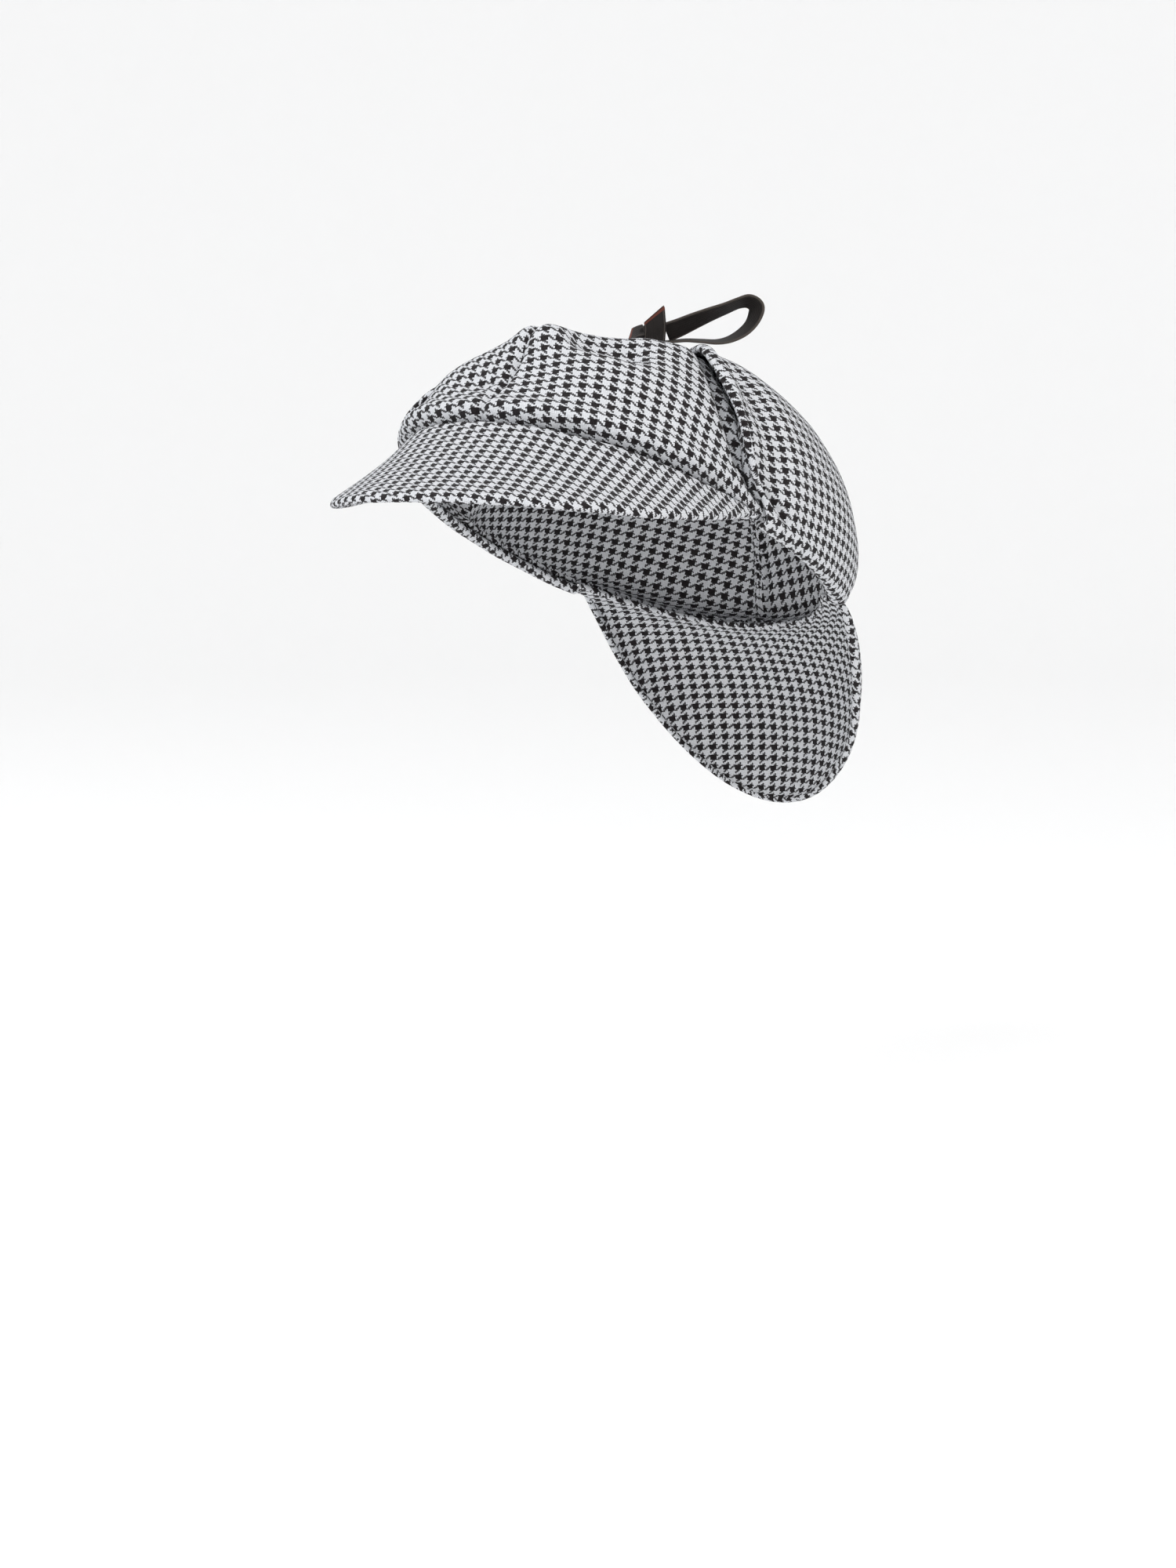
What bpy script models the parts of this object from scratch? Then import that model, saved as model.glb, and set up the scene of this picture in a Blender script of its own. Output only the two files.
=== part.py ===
"""Deerstalker hat: four sewn crown panels, a front and a back peak, and two ear flaps that are
turned up over the crown and tied there with a tape. Metres, +Z up, front of the hat at -Y.

The hat is drawn with its rim level, the rim's centre at the origin, and is then leaned back as worn.
theta runs round the rim from the front (0) by the wearer's left (+X, 90 degrees) to the back (180).
rise runs up a meridian of the crown, from 0 at the rim to 1 at the apex.
"""
import math

import bmesh
import bpy
from mathutils import Vector

# The whole hat
RIM_HALF_WIDTH = 0.079
RIM_HALF_LENGTH_FRONT = 0.100
RIM_HALF_LENGTH_BACK = 0.105
RIM_SQUARENESS = 2.1
RIM_FRONT_LIFT = 0.0025
CROWN_HEIGHT = 0.075
CROWN_FULLNESS = 1.95
APEX_Y = -0.005
WORN_LEAN = math.radians(24.5)
FIT_GAP = 0.0004

# Crown panels, from the front-centre seam round by the wearer's left
PANELS = (
    {"name": "crown_panel_front_left", "columns": 22, "rows": 20},
    {"name": "crown_panel_back_left", "columns": 14, "rows": 14},
    {"name": "crown_panel_back_right", "columns": 14, "rows": 14},
    {"name": "crown_panel_front_right", "columns": 22, "rows": 20},
)
PANEL_ANGLE = math.radians(90.0)
PANEL_THICKNESS = 0.0020
PANEL_TOP_RISE = 0.985
PANEL_PUFF = 0.0008
SEAM_DEPTH = 0.0012
SEAM_HALF_WIDTH = 0.0030

# Folds of the crown: two ends (theta in degrees, rise), half width and depth in metres.
# A negative depth is a raised ridge.
CROWN_FOLDS = (
    {"theta": (-34.0, 30.0), "rise": (0.64, 0.68), "half_width": 0.020, "depth": 0.0140},
    {"theta": (44.0, 62.0), "rise": (0.74, 0.78), "half_width": 0.016, "depth": 0.0050},
    {"theta": (16.0, 34.0), "rise": (0.43, 0.43), "half_width": 0.0075, "depth": 0.0060},
    {"theta": (0.0, 7.0), "rise": (0.41, 0.41), "half_width": 0.010, "depth": -0.0056},
    {"theta": (38.0, 47.0), "rise": (0.57, 0.57), "half_width": 0.013, "depth": -0.0062},
    {"theta": (-8.0, 8.0), "rise": (0.22, 0.22), "half_width": 0.016, "depth": 0.0040},
    {"theta": (-50.0, -6.0), "rise": (0.14, 0.19), "half_width": 0.005, "depth": 0.0026},
    {"theta": (-54.0, -28.0), "rise": (0.34, 0.44), "half_width": 0.014, "depth": 0.0036},
    {"theta": (79.0, 71.0), "rise": (0.15, 0.48), "half_width": 0.0085, "depth": 0.0060},
    {"theta": (90.0, 270.0), "rise": (0.97, 0.97), "half_width": 0.020, "depth": 0.0015},
)

# Peaks: two layers of cloth over a stiffener
PEAK_THICKNESS = 0.0026
PEAK_COLUMNS = 32
PEAK_ROWS = 7
PEAK_SEAM_INSET = 0.0003

# The front peak goes out square to the rim, from its middle to half_span on either side of it.
# Its slopes are below level: slope at the middle of the seam, side_slope and twist what the sides
# add to it, flare what its free edge adds.
FRONT_PEAK = {
    "middle": 6.0, "half_span": 72.4, "length": 0.0628, "fullness": 1.05,
    "slope": 53.4, "side_slope": 13.0, "twist": -11.6, "flare": -11.0,
}

# The back peak hangs down behind and swells outward; it runs out at corners on the rim (theta)
BACK_PEAK = {
    "corners": (128.0, 232.0), "reach": 0.0870, "drop": 0.0592, "swell": 0.0105,
    "swell_fullness": 0.75,
}

# Ear flaps, turned up: a row for each section from the fold at the rim to the tip.
# lead and trail are the front and back edges (theta); the stands are how far the flap's outer
# face lies off the crown at its front edge and over the rest.
FLAP_THICKNESS = 0.0024
FLAP_COLUMNS = 14
FLAP_ROWS = 17
FLAP_FOLD_STEPS = 5
FLAP_FOLD_TURN = math.radians(150.0)
LEAD_LIFT_WIDTH = 0.16
LEFT_FLAP = (
    {"rise": 0.00, "lead": 81.0, "trail": 126.5, "lead_stand": 0.0030, "stand": 0.0030},
    {"rise": 0.12, "lead": 71.0, "trail": 130.0, "lead_stand": 0.0070, "stand": 0.0052},
    {"rise": 0.28, "lead": 65.0, "trail": 133.0, "lead_stand": 0.0085, "stand": 0.0062},
    {"rise": 0.45, "lead": 60.0, "trail": 134.0, "lead_stand": 0.0080, "stand": 0.0062},
    {"rise": 0.62, "lead": 53.5, "trail": 134.0, "lead_stand": 0.0054, "stand": 0.0042},
    {"rise": 0.78, "lead": 48.0, "trail": 132.0, "lead_stand": 0.0044, "stand": 0.0040},
    {"rise": 0.92, "lead": 46.0, "trail": 130.0, "lead_stand": 0.0036, "stand": 0.0038},
)
RIGHT_FLAP = (
    {"rise": 0.00, "lead": 71.0, "trail": 126.5, "lead_stand": 0.0030, "stand": 0.0030},
    {"rise": 0.12, "lead": 64.0, "trail": 130.0, "lead_stand": 0.0132, "stand": 0.0052},
    {"rise": 0.28, "lead": 62.0, "trail": 133.0, "lead_stand": 0.0138, "stand": 0.0062},
    {"rise": 0.45, "lead": 60.0, "trail": 134.0, "lead_stand": 0.0060, "stand": 0.0060},
    {"rise": 0.62, "lead": 56.0, "trail": 134.0, "lead_stand": 0.0040, "stand": 0.0042},
    {"rise": 0.78, "lead": 50.0, "trail": 132.0, "lead_stand": 0.0042, "stand": 0.0038},
    {"rise": 0.88, "lead": 46.0, "trail": 130.0, "lead_stand": 0.0036, "stand": 0.0038},
)

# Tape tied at the apex, a little off it and sunk into the dent there.
# Its own axes: x to the wearer's left and back, y to the back and right, z straight up.
TIE_TURN = math.radians(36.0)
TIE_OFFSET = Vector((-0.0016, -0.0011, -0.0016))
TAPE_WIDTH = 0.0085
TAPE_THICKNESS = 0.0009
TAPE_COLUMNS = 2
TAPE_STEPS = 3
KNOT_SIZE = (0.0098, 0.0052, 0.0092)
KNOT_ROUND = 0.0018
KNOT_CENTRE = (-0.0017, 0.0012, 0.0060)
# Stations along each tape: middle of the tape, and how far its width turns out of the x-z plane
LOOP_STATIONS = (
    {"x": 0.0040, "y": 0.0014, "z": 0.0080, "turn": 26.0},
    {"x": 0.0087, "y": 0.0014, "z": 0.0098, "turn": 32.0},
    {"x": 0.0149, "y": 0.0010, "z": 0.0126, "turn": 42.0},
    {"x": 0.0210, "y": 0.0010, "z": 0.0152, "turn": 52.0},
    {"x": 0.0272, "y": 0.0010, "z": 0.0176, "turn": 60.0},
    {"x": 0.0324, "y": 0.0005, "z": 0.0197, "turn": 62.0},
    {"x": 0.0366, "y": 0.0000, "z": 0.0203, "turn": 52.0},
    {"x": 0.0396, "y": 0.0000, "z": 0.0182, "turn": 46.0},
    {"x": 0.0395, "y": 0.0005, "z": 0.0150, "turn": 50.0},
    {"x": 0.0376, "y": 0.0010, "z": 0.0109, "turn": 60.0},
    {"x": 0.0342, "y": 0.0015, "z": 0.0075, "turn": 66.0},
    {"x": 0.0293, "y": 0.0020, "z": 0.0048, "turn": 74.0},
    {"x": 0.0241, "y": 0.0026, "z": 0.0037, "turn": 80.0},
    {"x": 0.0180, "y": 0.0029, "z": 0.0040, "turn": 83.0},
    {"x": 0.0124, "y": 0.0030, "z": 0.0043, "turn": 85.0},
    {"x": 0.0080, "y": 0.0031, "z": 0.0040, "turn": 86.0},
    {"x": 0.0036, "y": 0.0032, "z": 0.0036, "turn": 87.0},
)
UPRIGHT_END_STATIONS = (
    {"x": -0.0007, "y": -0.0019, "z": 0.0024, "turn": -2.0},
    {"x": -0.0005, "y": -0.0021, "z": 0.0060, "turn": -5.0},
    {"x": -0.0003, "y": -0.0026, "z": 0.0100, "turn": -8.0},
    {"x": -0.0006, "y": -0.0028, "z": 0.0152, "turn": -10.0},
)
SIDE_END_STATIONS = (
    {"x": -0.0070, "y": 0.0016, "z": 0.0090, "turn": 60.0},
    {"x": -0.0084, "y": 0.0024, "z": 0.0088, "turn": 62.0},
    {"x": -0.0096, "y": 0.0032, "z": 0.0084, "turn": 64.0},
)
UPRIGHT_END_CUT = 0.0032
SIDE_END_CUT = -0.0024

HOUNDSTOOTH_CLOTH = {"color": (0.44, 0.45, 0.48, 1.0), "roughness": 0.92, "metallic": 0.0}
BLACK_TAPE = {"color": (0.022, 0.019, 0.018, 1.0), "roughness": 0.80, "metallic": 0.0}


def remove_scene_objects():
    for scene_object in list(bpy.data.objects):
        bpy.data.objects.remove(scene_object, do_unlink=True)


def make_material(name, look):
    material = bpy.data.materials.new(name)
    material.use_nodes = True
    shader = material.node_tree.nodes["Principled BSDF"]
    shader.inputs["Base Color"].default_value = look["color"]
    shader.inputs["Roughness"].default_value = look["roughness"]
    shader.inputs["Metallic"].default_value = look["metallic"]
    return material


def add_object(name, mesh, look, parent):
    """An object in the scene with its own material, placed under its parent."""
    mesh.shade_smooth()
    mesh.materials.append(make_material(name, look))
    scene_object = bpy.data.objects.new(name, mesh)
    scene_object.parent = parent
    bpy.context.collection.objects.link(scene_object)
    return scene_object


def add_sheet(name, rows, thickness, look, parent):
    """A wall of cloth whose outer face is a grid of points and whose thickness goes inward."""
    width = len(rows[0])
    faces = []
    for row in range(len(rows) - 1):
        for column in range(width - 1):
            corner = row * width + column
            faces.append((corner, corner + 1, corner + width + 1, corner + width))
    mesh = bpy.data.meshes.new(name)
    mesh.from_pydata([point for row in rows for point in row], [], faces)
    sheet = add_object(name, mesh, look, parent)
    wall = sheet.modifiers.new("wall", "SOLIDIFY")
    wall.thickness = thickness
    wall.offset = -1.0
    wall.use_even_offset = True
    return sheet


def signed_power(value, power):
    return math.copysign(abs(value) ** power, value)


def rim_point(theta):
    """Outer edge of the rim: level, a little lifted at the front."""
    power = 2.0 / RIM_SQUARENESS
    half_length = RIM_HALF_LENGTH_FRONT if math.cos(theta) > 0.0 else RIM_HALF_LENGTH_BACK
    return Vector((
        RIM_HALF_WIDTH * signed_power(math.sin(theta), power),
        -half_length * signed_power(math.cos(theta), power),
        RIM_FRONT_LIFT * max(math.cos(theta), 0.0),
    ))


def rim_outward(theta):
    """Level direction out of the hat, square to the rim."""
    step = 0.01
    along = rim_point(theta + step) - rim_point(theta - step)
    return Vector((along.y, -along.x, 0.0)).normalized()


def crown_form(theta, rise):
    """The smooth dome that the panels follow."""
    angle = rise * math.pi / 2.0
    power = 2.0 / CROWN_FULLNESS
    spread = max(math.cos(angle), 0.0) ** power
    height = math.sin(angle) ** power
    ring = rim_point(theta) * spread
    base = rim_point(theta).z * (1.0 - height)
    return Vector((ring.x, ring.y + APEX_Y * (1.0 - spread), CROWN_HEIGHT * height + base))


def crown_outward(theta, rise):
    step = 0.004
    low = max(rise - step, 0.001)
    high = min(rise + step, 0.999)
    around = crown_form(theta + step, rise) - crown_form(theta - step, rise)
    upward = crown_form(theta, high) - crown_form(theta, low)
    return around.cross(upward).normalized()


def distance_to_segment(point, start, end):
    along = end - start
    share = max(0.0, min(1.0, (point - start).dot(along) / along.length_squared))
    return (point - start - along * share).length


def fold_depth(point):
    """How far the folds press the crown in at a point of its dome."""
    depth = 0.0
    for fold in CROWN_FOLDS:
        start, end = [
            crown_form(math.radians(theta), rise)
            for theta, rise in zip(fold["theta"], fold["rise"])
        ]
        distance = distance_to_segment(point, start, end) / fold["half_width"]
        depth += fold["depth"] * math.exp(-distance * distance)
    return depth


def ring_radius(point):
    """Distance of a point of the crown from the upright line through the apex."""
    return math.hypot(point.x, point.y - APEX_Y)


def crown_point(theta, rise):
    """Outer face of the sewn crown: puffed panels, sunk seams and the folds."""
    point = crown_form(theta, rise)
    across_panel = (theta / PANEL_ANGLE) % 1.0
    seam_distance = min(across_panel, 1.0 - across_panel) * PANEL_ANGLE * ring_radius(point)
    puff = PANEL_PUFF * math.sin(math.pi * across_panel) * math.sin(math.pi * rise)
    sink = SEAM_DEPTH * math.exp(-((seam_distance / SEAM_HALF_WIDTH) ** 2))
    sink *= math.cos(rise * math.pi / 2.0) ** 0.5
    return point + crown_outward(theta, rise) * (puff - sink - fold_depth(point))


def add_crown_panel(index, panel, hat):
    rows = []
    for row in range(panel["rows"] + 1):
        rise = PANEL_TOP_RISE * row / panel["rows"]
        middle = crown_form((index + 0.5) * PANEL_ANGLE, rise)
        inset = FIT_GAP / 2.0 / ring_radius(middle)
        start = index * PANEL_ANGLE + inset
        span = PANEL_ANGLE - 2.0 * inset
        rows.append([
            crown_point(start + span * column / panel["columns"], rise)
            for column in range(panel["columns"] + 1)
        ])
    add_sheet(panel["name"], rows, PANEL_THICKNESS, HOUNDSTOOTH_CLOTH, hat)


def peak_seam(theta):
    """Where the top face of a peak leaves the rim."""
    return rim_point(theta) - rim_outward(theta) * PEAK_SEAM_INSET - Vector((0.0, 0.0, FIT_GAP))


def front_peak_point(share, out):
    """share runs from -1 to 1 round the rim, out from 0 at the seam to 1 at the free edge."""
    peak = FRONT_PEAK
    theta = math.radians(peak["middle"] + peak["half_span"] * share)
    slope = math.radians(peak["slope"] + peak["side_slope"] * share ** 2 + peak["twist"] * share)
    flare = math.radians(peak["flare"])
    length = peak["length"] * max(math.cos(share * math.pi / 2.0), 0.0) ** peak["fullness"]
    level = (math.sin(slope + flare * out) - math.sin(slope)) / flare
    down = (math.cos(slope) - math.cos(slope + flare * out)) / flare
    reach = rim_outward(theta) * level - Vector((0.0, 0.0, down))
    return peak_seam(theta) + reach * length


def back_peak_point(share, out):
    """share runs from -1 to 1 round the rim, out from 0 at the seam to 1 at the free edge."""
    peak = BACK_PEAK
    corners = [math.radians(corner) for corner in peak["corners"]]
    theta = corners[0] + (corners[1] - corners[0]) * (share + 1.0) / 2.0
    first, second = [rim_point(corner) for corner in corners]
    turn = share * math.pi / 2.0
    edge = (first + second) / 2.0 + (second - first) / 2.0 * math.sin(turn)
    edge.y += peak["reach"] * math.cos(turn)
    edge.z -= peak["drop"] * math.cos(turn) + FIT_GAP
    swell = peak["swell"] * 4.0 * out * (1.0 - out) * math.cos(turn) ** peak["swell_fullness"]
    lift = (rim_outward(theta) + Vector((0.0, 0.0, 1.0))).normalized() * swell
    return peak_seam(theta).lerp(edge, out) + lift


def add_peak(name, surface, hat):
    rows = []
    for row in range(PEAK_ROWS + 1):
        out = 1.0 - row / PEAK_ROWS
        shares = [2.0 * column / PEAK_COLUMNS - 1.0 for column in range(PEAK_COLUMNS + 1)]
        rows.append([surface(share, out) for share in shares])
    add_sheet(name, rows, PEAK_THICKNESS, HOUNDSTOOTH_CLOTH, hat)


def spline_value(values, share):
    """Smooth value between the second and third of four evenly spaced values."""
    before, start, end, after = values
    return 0.5 * (
        2.0 * start + (end - before) * share
        + (2.0 * before - 5.0 * start + 4.0 * end - after) * share ** 2
        + (3.0 * start - before - 3.0 * end + after) * share ** 3
    )


def smooth_row(table, place):
    """The table's columns at a place counted in rows, smoothed between the rows."""
    last = len(table) - 1
    index = min(int(place), last - 1)
    near = [table[max(0, min(last, index + shift))] for shift in (-1, 0, 1, 2)]
    return {column: spline_value([row[column] for row in near], place - index)
            for column in table[0]}


def add_ear_flap(name, sections, side, hat):
    """side is 1 for the wearer's left and -1 for the right."""
    rows = []
    fold = sections[0]
    wall_middle = PANEL_THICKNESS / 2.0
    radius = fold["stand"] + wall_middle
    for step in range(FLAP_FOLD_STEPS):
        turn = -FLAP_FOLD_TURN * (1.0 - step / FLAP_FOLD_STEPS)
        points = []
        for column in range(FLAP_COLUMNS + 1):
            across = column / FLAP_COLUMNS
            theta = math.radians(fold["lead"] + (fold["trail"] - fold["lead"]) * across)
            out = rim_outward(theta)
            centre = rim_point(theta) - out * wall_middle
            down = Vector((0.0, 0.0, radius * math.sin(turn)))
            points.append(centre + out * radius * math.cos(turn) + down)
        rows.append(points)
    for row in range(FLAP_ROWS + 1):
        section = smooth_row(sections, (len(sections) - 1) * row / FLAP_ROWS)
        points = []
        for column in range(FLAP_COLUMNS + 1):
            across = column / FLAP_COLUMNS
            theta = math.radians(section["lead"] + (section["trail"] - section["lead"]) * across)
            seat = crown_form(theta, section["rise"])
            near_lead = math.exp(-((across / LEAD_LIFT_WIDTH) ** 2))
            stand = section["stand"] + (section["lead_stand"] - section["stand"]) * near_lead
            stand -= fold_depth(Vector((seat.x * side, seat.y, seat.z)))
            points.append(seat + crown_outward(theta, section["rise"]) * stand)
        rows.append(points)
    for points in rows:
        for point in points:
            point.x *= side
        if side < 0.0:
            points.reverse()
    add_sheet(name, rows, FLAP_THICKNESS, HOUNDSTOOTH_CLOTH, hat)


def add_tape(name, stations, end_cut, tie):
    """A flat tape along its stations; end_cut slants its last edge."""
    steps = TAPE_STEPS * (len(stations) - 1)
    path = [smooth_row(stations, step / TAPE_STEPS) for step in range(steps + 1)]
    middles = [Vector((row["x"], row["y"], row["z"])) for row in path]
    rows = []
    for index, row in enumerate(path):
        along = middles[min(index + 1, steps)] - middles[max(index - 1, 0)]
        along.y = 0.0
        along.normalize()
        turn = math.radians(row["turn"])
        across = Vector((-along.z, 0.0, along.x)) * math.cos(turn)
        across -= Vector((0.0, math.sin(turn), 0.0))
        slant = along * end_cut * index / steps
        shares = [2.0 * column / TAPE_COLUMNS - 1.0 for column in range(TAPE_COLUMNS + 1)]
        rows.append([
            middles[index] + (across * TAPE_WIDTH / 2.0 - slant) * share for share in shares
        ])
    add_sheet(name, rows, TAPE_THICKNESS, BLACK_TAPE, tie)


def add_knot(tie):
    shape = bmesh.new()
    bmesh.ops.create_cube(shape, size=1.0)
    bmesh.ops.scale(shape, vec=KNOT_SIZE, verts=shape.verts)
    bmesh.ops.bevel(
        shape, geom=list(shape.edges), offset=KNOT_ROUND, segments=3, profile=0.5, affect="EDGES")
    mesh = bpy.data.meshes.new("tape_knot")
    shape.to_mesh(mesh)
    shape.free()
    knot = add_object("tape_knot", mesh, BLACK_TAPE, tie)
    knot.location = KNOT_CENTRE


def main():
    remove_scene_objects()
    hat = bpy.data.objects.new("hat", None)
    hat.rotation_euler.x = -WORN_LEAN
    bpy.context.collection.objects.link(hat)
    for index, panel in enumerate(PANELS):
        add_crown_panel(index, panel, hat)
    add_peak("front_peak", front_peak_point, hat)
    add_peak("back_peak", back_peak_point, hat)
    add_ear_flap("ear_flap_left", LEFT_FLAP, 1.0, hat)
    add_ear_flap("ear_flap_right", RIGHT_FLAP, -1.0, hat)

    tie = bpy.data.objects.new("tie", None)
    tie.location = hat.rotation_euler.to_matrix() @ crown_form(0.0, 1.0) + TIE_OFFSET
    tie.rotation_euler.z = TIE_TURN
    bpy.context.collection.objects.link(tie)
    add_knot(tie)
    add_tape("tape_loop", LOOP_STATIONS, 0.0, tie)
    add_tape("tape_end_upright", UPRIGHT_END_STATIONS, UPRIGHT_END_CUT, tie)
    add_tape("tape_end_side", SIDE_END_STATIONS, SIDE_END_CUT, tie)


main()
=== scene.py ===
"""Looks of the deerstalker hat: cloth walls in houndstooth, a ribbed tape, studio and camera.

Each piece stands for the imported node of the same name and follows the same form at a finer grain.
Metres. theta runs round the rim from the front (0) by the wearer's left (90 degrees) to the back,
rise runs up a meridian of the crown from the rim (0) to the apex (1).
"""

import math

import bpy
import numpy as np
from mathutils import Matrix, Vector, noise


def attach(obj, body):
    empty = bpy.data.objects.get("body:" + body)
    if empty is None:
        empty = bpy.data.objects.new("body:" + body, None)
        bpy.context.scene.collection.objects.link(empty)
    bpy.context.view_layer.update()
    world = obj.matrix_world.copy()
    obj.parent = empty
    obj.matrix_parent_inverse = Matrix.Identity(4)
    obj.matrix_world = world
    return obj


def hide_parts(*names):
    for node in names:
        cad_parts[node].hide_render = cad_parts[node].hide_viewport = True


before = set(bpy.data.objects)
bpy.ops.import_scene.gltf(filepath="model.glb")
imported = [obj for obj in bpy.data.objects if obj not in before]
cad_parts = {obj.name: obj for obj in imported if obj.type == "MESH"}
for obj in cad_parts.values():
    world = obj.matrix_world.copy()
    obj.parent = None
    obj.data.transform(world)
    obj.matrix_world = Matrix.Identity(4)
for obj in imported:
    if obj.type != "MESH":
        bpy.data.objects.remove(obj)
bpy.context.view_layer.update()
MILLIMETRE = 0.001
TINY = 1e-12

# The whole hat, as in the part
RIM_HALF_WIDTH = 0.079
RIM_HALF_LENGTH_FRONT = 0.100
RIM_HALF_LENGTH_BACK = 0.105
RIM_SQUARENESS = 2.1
RIM_FRONT_LIFT = 0.0025
CROWN_HEIGHT = 0.075
CROWN_FULLNESS = 1.95
APEX_Y = -0.005
WORN_LEAN = math.radians(24.5)
SEAT_GAP = 0.0004

# Crown panels, from the front-centre seam round by the wearer's left.
# grain turns the weave in the panel, in degrees.
PANELS = (
    {"name": "crown_panel_front_left", "grain": -2.0},
    {"name": "crown_panel_back_left", "grain": 0.0},
    {"name": "crown_panel_back_right", "grain": 0.0},
    {"name": "crown_panel_front_right", "grain": -22.0},
)
PANEL_ANGLE = math.radians(90.0)
PANEL_COLUMNS = 126
PANEL_ROWS = 108
PANEL_THICKNESS = 0.0020
PANEL_TOP_RISE = 0.995
PANEL_PUFF = 0.0008
SEAM_DEPTH = 0.0026
SEAM_HALF_WIDTH = 0.0022

# Folds of the crown: two ends (theta in degrees, rise), half width and depth.
# A negative depth is a raised ridge.
CROWN_FOLDS = (
    {"theta": (-34.0, 30.0), "rise": (0.64, 0.68), "half_width": 0.020, "depth": 0.0140},
    {"theta": (44.0, 62.0), "rise": (0.74, 0.78), "half_width": 0.016, "depth": 0.0050},
    {"theta": (16.0, 34.0), "rise": (0.43, 0.43), "half_width": 0.0075, "depth": 0.0060},
    {"theta": (0.0, 7.0), "rise": (0.41, 0.41), "half_width": 0.010, "depth": -0.0056},
    {"theta": (38.0, 47.0), "rise": (0.57, 0.57), "half_width": 0.013, "depth": -0.0062},
    {"theta": (-8.0, 8.0), "rise": (0.22, 0.22), "half_width": 0.016, "depth": 0.0040},
    {"theta": (-50.0, -6.0), "rise": (0.14, 0.19), "half_width": 0.005, "depth": 0.0026},
    {"theta": (-54.0, -28.0), "rise": (0.34, 0.44), "half_width": 0.014, "depth": 0.0036},
    {"theta": (79.0, 71.0), "rise": (0.15, 0.48), "half_width": 0.0085, "depth": 0.0060},
    {"theta": (90.0, 270.0), "rise": (0.97, 0.97), "half_width": 0.020, "depth": 0.0015},
)

PEAK_THICKNESS = 0.0026
PEAK_COLUMNS = 200
PEAK_ROWS = 84

# The front peak goes out square to the rim, from its middle to half_span on either side of it.
# Its slopes are below level: slope at the middle of the seam, side_slope and twist what the sides
# add to it, flare what its free edge adds.
FRONT_PEAK = {
    "middle": 6.0, "half_span": 72.4, "length": 0.0628, "fullness": 1.05,
    "slope": 53.4, "side_slope": 13.0, "twist": -11.6, "flare": -11.0, "grain": -8.5,
}

# The back peak hangs down behind and swells outward; it runs out at corners on the rim (theta)
BACK_PEAK = {
    "corners": (127.0, 233.0), "reach": 0.0870, "drop": 0.0592, "swell": 0.0105,
    "swell_fullness": 0.75, "grain": 0.0,
}

# Ear flaps, turned up: a row for each section from the fold at the rim to the tip
FLAP_THICKNESS = 0.0024
FLAP_COLUMNS = 84
FLAP_ROWS = 96
FLAP_FOLD_ROWS = 18
FLAP_GRAIN = 3.0
FLAP_FOLD_TURN = math.radians(150.0)
LEAD_LIFT_WIDTH = 0.16
LEFT_FLAP = (
    {"rise": 0.00, "lead": 81.0, "trail": 126.5, "lead_stand": 0.0030, "stand": 0.0030},
    {"rise": 0.12, "lead": 71.0, "trail": 130.0, "lead_stand": 0.0070, "stand": 0.0052},
    {"rise": 0.28, "lead": 65.0, "trail": 133.0, "lead_stand": 0.0085, "stand": 0.0062},
    {"rise": 0.45, "lead": 60.0, "trail": 134.0, "lead_stand": 0.0080, "stand": 0.0062},
    {"rise": 0.62, "lead": 53.5, "trail": 134.0, "lead_stand": 0.0054, "stand": 0.0042},
    {"rise": 0.78, "lead": 48.0, "trail": 132.0, "lead_stand": 0.0044, "stand": 0.0040},
    {"rise": 0.92, "lead": 46.0, "trail": 130.0, "lead_stand": 0.0036, "stand": 0.0038},
)
RIGHT_FLAP = (
    {"rise": 0.00, "lead": 71.0, "trail": 126.5, "lead_stand": 0.0030, "stand": 0.0030},
    {"rise": 0.12, "lead": 64.0, "trail": 130.0, "lead_stand": 0.0132, "stand": 0.0052},
    {"rise": 0.28, "lead": 62.0, "trail": 133.0, "lead_stand": 0.0138, "stand": 0.0062},
    {"rise": 0.45, "lead": 60.0, "trail": 134.0, "lead_stand": 0.0060, "stand": 0.0060},
    {"rise": 0.62, "lead": 56.0, "trail": 134.0, "lead_stand": 0.0040, "stand": 0.0042},
    {"rise": 0.78, "lead": 50.0, "trail": 132.0, "lead_stand": 0.0042, "stand": 0.0038},
    {"rise": 0.88, "lead": 46.0, "trail": 130.0, "lead_stand": 0.0036, "stand": 0.0038},
)

# Tape tied at the apex. Its own axes: x to the wearer's left and back, y to the back and right.
# A station is a point on the tape's middle and the tape's turn about its run, in degrees; a cut is
# how far a slanted end leans either way. The knot is a turn over a slightly smaller one, with
# KNOT_LAP where it starts along the knot (-1 to 1) and KNOT_UNDER the size of the one below.
TIE_TURN = math.radians(36.0)
TIE_OFFSET = (-0.0016, -0.0011, -0.0016)
TAPE_WIDTH = 0.0085
TAPE_THICKNESS = 0.0009
TAPE_COLUMNS = 16
TAPE_STEPS = 12
KNOT_SIZE = (0.0098, 0.0052, 0.0092)
KNOT_LAP = -0.66
KNOT_UNDER = 0.88
KNOT_BULK = 5.0
KNOT_SQUARENESS = 0.45
KNOT_WAVE = 0.0002
KNOT_RINGS = 61
KNOT_SPOKES = 72
KNOT_CENTRE = (-0.0017, 0.0012, 0.0060)
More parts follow.
